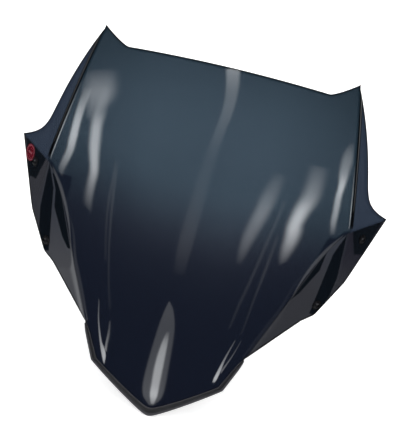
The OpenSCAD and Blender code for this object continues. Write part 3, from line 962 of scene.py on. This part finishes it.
# Strip softboxes on a 5 m sphere about the sheet, seen only in reflections, and placed so that the
# streaks fall where the photograph has them. Each strip has a sharpness and its stations, which are
# (azimuth, elevation, width, level): degrees, azimuth 0 towards the front and + towards +X.
STRIPS = {
    # the broad streaks on both sides of the panel
    "left_glow": (1.3, [(-89, 52, 8, 0.4), (-80, 51.5, 8, 3.6), (-75, 50, 7, 4.2), (-70, 47, 4, 2.8),
        (-66, 44, 2, 0.5)]),
    "left_a": (1.6, [(-81, 48, 2.5, 0.4), (-75, 45, 2.2, 5.5), (-68, 40.5, 2.1, 10.5),
        (-63, 36.5, 2.2, 11), (-58.5, 31, 2, 7), (-55, 20, 1.5, 0.5)]),
    "left_b": (1.2, [(-79, 53, 2.5, 0.4), (-69, 49.5, 3, 2), (-63, 45.5, 3, 8.5), (-56, 41, 3, 10),
        (-48.5, 34, 2.8, 9.5), (-46, 28, 2.8, 5), (-44, 17, 3, 0.3)]),
    "right_a": (1.3, [(83, 50.5, 1, 0.4), (76.5, 48.5, 2.8, 3), (70, 45.5, 2.6, 5.5), (65, 42, 1.7, 12),
        (60.5, 38.5, 1.7, 9), (55, 31, 1.6, 6), (52.5, 24, 1.2, 0.5)]),
    "right_b": (1.1, [(62, 51, 4.6, 0.9), (51, 43, 4.6, 5), (45, 38.5, 4.4, 11), (41, 33.5, 4.5, 12),
        (40, 29.5, 5, 9.5), (38.5, 23, 5, 4), (38, 17, 3, 0.4)]),
    "right_c": (1.2, [(41.5, 53.5, 3.5, 0.4), (32.5, 46, 4.5, 2.4), (28, 40.5, 4.3, 3.7),
        (23.5, 34, 4, 2.9), (20.5, 28, 3.3, 2), (18, 20, 1.7, 0.2)]),
    # the low streak in the middle: a broad dim one with a bright core
    "low_body": (6, [(-2.6, 1, 0.4, 1.3), (-2, -2.7, 2.9, 1.3), (-1.6, -10, 5, 1.2),
        (-1.7, -25, 5.8, 1.4), (-1.6, -32.5, 4.9, 1.6), (-1.4, -36, 1, 1.2)]),
    "low_core": (2.2, [(-0.9, -10, 0.8, 0.5), (-1.2, -15, 1.7, 5), (-1.4, -22, 2.2, 6.2),
        (-1.3, -29, 2, 6.4), (-1.2, -32.5, 1.8, 8), (-1.1, -35.5, 0.7, 3)]),
    # the hooked streaks in both lower corners
    "hook_left_a": (1.8, [(-30.5, -9, 1.2, 1), (-30, -16.5, 1.8, 3), (-26, -22.5, 2.8, 6),
        (-21, -25, 4.6, 9.5), (-19, -26, 3, 5)]),
    "hook_left_b": (1.5, [(-18.5, -12, 0.3, 1), (-18, -17, 0.8, 2.4), (-19, -22.5, 2.4, 4.2)]),
    "hook_right_a": (1.8, [(24.5, -10.5, 1.1, 1.2), (21.5, -17, 2.3, 4), (20.5, -23.5, 4.2, 10),
        (20, -25.5, 3, 6)]),
    "hook_right_b": (1.5, [(31, -12.5, 0.8, 0.7), (29, -17.5, 1.3, 1.8), (24, -22.5, 2.1, 3)]),
    # thin faint streaks that run down the panel
    "fold_left_a": (1.5, [(-44, 41.5, 0.6, 0.4), (-39.5, 36.5, 0.7, 0.7), (-32, 19.5, 1.4, 0.35),
        (-27.5, 7.5, 2, 0.2)]),
    "fold_left_b": (1.5, [(-43, 42.5, 0.6, 0.3), (-36, 32.5, 0.7, 0.8), (-30, 20.5, 0.9, 0.5),
        (-19.5, -8, 0.9, 0.15)]),
    "fold_right_a": (1.5, [(39, 43.5, 1, 0.5), (28, 27.5, 1, 0.5), (20, 7, 0.9, 0.35),
        (17, -4.5, 0.7, 0.2)]),
    "fold_right_b": (1.5, [(33, 31, 1.1, 0.3), (29, 19, 1.9, 0.5), (27, 5.5, 2.2, 0.3),
        (28, -9, 2.1, 0.15)]),
    "top": (2.2, [(6, 93, 3.8, 5.5), (13, 86, 3.6, 2.7), (6, 78, 3.3, 1.9), (1, 69, 3.2, 1),
        (-1, 58, 3.9, 0.4), (-2, 27, 4.9, 0.6), (-1.8, 12, 3.6, 0.1)]),
    # what only the rounded creases show: beside the crease above the kink, on its wing side, and
    # below the kink
    "crease_left": (2, [(-93, 39, 9, 0.2), (-85, 31, 11, 4.5), (-79, 25.5, 12, 7.5),
        (-73.5, 18.5, 10, 4.5), (-70, 10, 6, 0.8)]),
    "crease_right": (2, [(87, 37, 9, 0), (79.5, 29, 11, 4.5), (75, 24.5, 12, 6), (71.5, 20, 10, 4),
        (68, 12, 6, 0.8)]),
    "ridge_left": (1.5, [(-121, 22, 5, 1), (-116, 17.5, 4, 1.6), (-103, 12, 4, 1.2),
        (-96.5, 7.5, 4, 0.8)]),
    "ridge_right": (1.5, [(120, 24, 5, 1.8), (115, 20, 4, 2.4), (101.5, 14.5, 4, 1.8),
        (95, 10, 4, 1.3)]),
    "kink_left": (1.5, [(-62, 6, 5, 0.6), (-65, -4, 5, 1.4), (-68, -13.5, 3, 1.3)]),
    "kink_right": (1.5, [(60, 7, 5, 0.6), (62, -3, 5, 1.2), (66, -13, 3, 1.1)]),
    "bend_left": (1.2, [(-66, -13, 3, 0.7), (-60, -18, 5, 1.5), (-61.5, -29.5, 6.4, 1.7),
        (-64, -36, 6.4, 0.8)]),
    "bend_right": (1.2, [(63, -13, 3, 0.1), (57, -20, 4.5, 0.2), (58.5, -29.5, 5.4, 0.2),
        (61, -36, 5.4, 0.1)]),
    "foot_left": (1.2, [(-52, -27.5, 6, 0.8), (-46, -27.5, 6, 1.3), (-40, -30, 5, 0.6)]),
    "foot_right": (1.2, [(49, -27.5, 5, 0.1), (43, -27.5, 5, 0.2), (37, -30, 4, 0.1)]),
    "flank_left": (1.4, [(-58, -3, 7, 0.2), (-54, -12, 8, 0.5), (-51, -25, 8, 0.5)]),
    "flank_right": (1.4, [(55, -2, 7, 0.1), (51, -12, 8, 0.15), (48, -25, 8, 0.15)]),
    # pale cards low at both sides and in front, for the rubber trim
    "card_left": (2.2, [(-60, -58, 22, 0.9), (-84, -48, 22, 0.9), (-106, -38, 22, 0.8)]),
    "card_right": (2.2, [(60, -58, 22, 0.3), (82, -48, 22, 0.3), (104, -38, 22, 0.2)]),
    "card_front": (2.2, [(-50, -60, 26, 0.9), (0, -58, 26, 0.9), (50, -60, 26, 0.9)]),
}


def toward(az, el):
    az, el = math.radians(az), math.radians(el)
    return np.array([math.sin(az) * math.cos(el), -math.cos(az) * math.cos(el), math.sin(el)])


def smooth_curve(stations, rows_each):
    """Catmull-Rom curve through the stations, in every column."""
    ends = np.vstack([2 * stations[0] - stations[1], stations, 2 * stations[-1] - stations[-2]])
    rows = []
    for k in range(len(stations) - 1):
        a, b, c, d = ends[k:k + 4]
        for t in np.arange(rows_each) / rows_each:
            bend = (a - 2.5 * b + 2 * c - d / 2) * t ** 2
            twist = (1.5 * (b - c) + (d - a) / 2) * t ** 3
            rows.append(b + (c - a) * t / 2 + bend + twist)
    return np.array(rows + [stations[-1]])


def glow_material(name):
    """Light that adds to what lies behind it, by the mesh's own level."""
    mat, n, out = material(name)
    glow = n.new("ShaderNodeEmission", {"Color": rgb(0.96, 0.98, 1.0), "Strength": attribute(n, "level")})
    clear = n.new("ShaderNodeBsdfTransparent")
    both = n.new("ShaderNodeAddShader", {0: glow.outputs[0], 1: clear.outputs[0]})
    n.put(out.inputs["Surface"], both.outputs[0])
    return mat


def strip_light(name, sharp, stations, middle):
    """A curved strip round middle that fades to its long edges, over 1 / sharp of its half width."""
    distance, columns, rows_each = 5.0, 24, 9
    data = smooth_curve(np.array([(*toward(a, e), w, k) for a, e, w, k in stations]), rows_each)
    widths, glows = np.maximum(data[:, 3], 0), np.maximum(data[:, 4], 0)
    centres = unit_rows(data[:, :3])
    sides = unit_rows(np.cross(np.gradient(centres, axis=0), centres))
    halves = np.tan(np.radians(widths / 2 / (1 - 0.5 / sharp)))
    verts, levels, faces = [], [], []
    for k in range(len(centres)):
        for c in range(columns + 1):
            x = 2 * c / columns - 1
            verts.append((centres[k] + sides[k] * halves[k] * x) * distance + middle)
            edge = min(1, (1 - abs(x)) * sharp)
            levels.append(glows[k] * edge * edge * (3 - 2 * edge))
    for k in range(len(centres) - 1):
        for c in range(columns):
            a = k * (columns + 1) + c
            faces.append((a, a + 1, a + columns + 2, a + columns + 1))
    obj = mesh_object(name, np.array(verts), faces)
    add_layer(obj, "level", levels)
    obj.data.materials.append(glow_material(name + "_glow"))
    obj.visible_camera = obj.visible_diffuse = obj.visible_shadow = obj.visible_transmission = False


def top_light():
    """A broad soft lamp overhead that reflections don't show."""
    data = bpy.data.lights.new("top_fill", "AREA")
    data.shape = "RECTANGLE"
    data.size = data.size_y = 3
    data.energy = 60
    obj = bpy.data.objects.new("top_fill", data)
    bpy.context.scene.collection.objects.link(obj)
    obj.location = (0, -0.3, 2.6)
    obj.rotation_euler = (-obj.location).to_track_quat("-Z", "Y").to_euler()
    obj.visible_camera = False
    obj.visible_glossy = False


panel_middle = np.array(to_row([0, 225, 30]))
for strip_name, (sharp, stations) in STRIPS.items():
    strip_light(strip_name, sharp, stations, panel_middle)
top_light()

bpy.context.scene.view_settings.view_transform = "Standard"
bpy.context.scene.view_settings.look = "None"
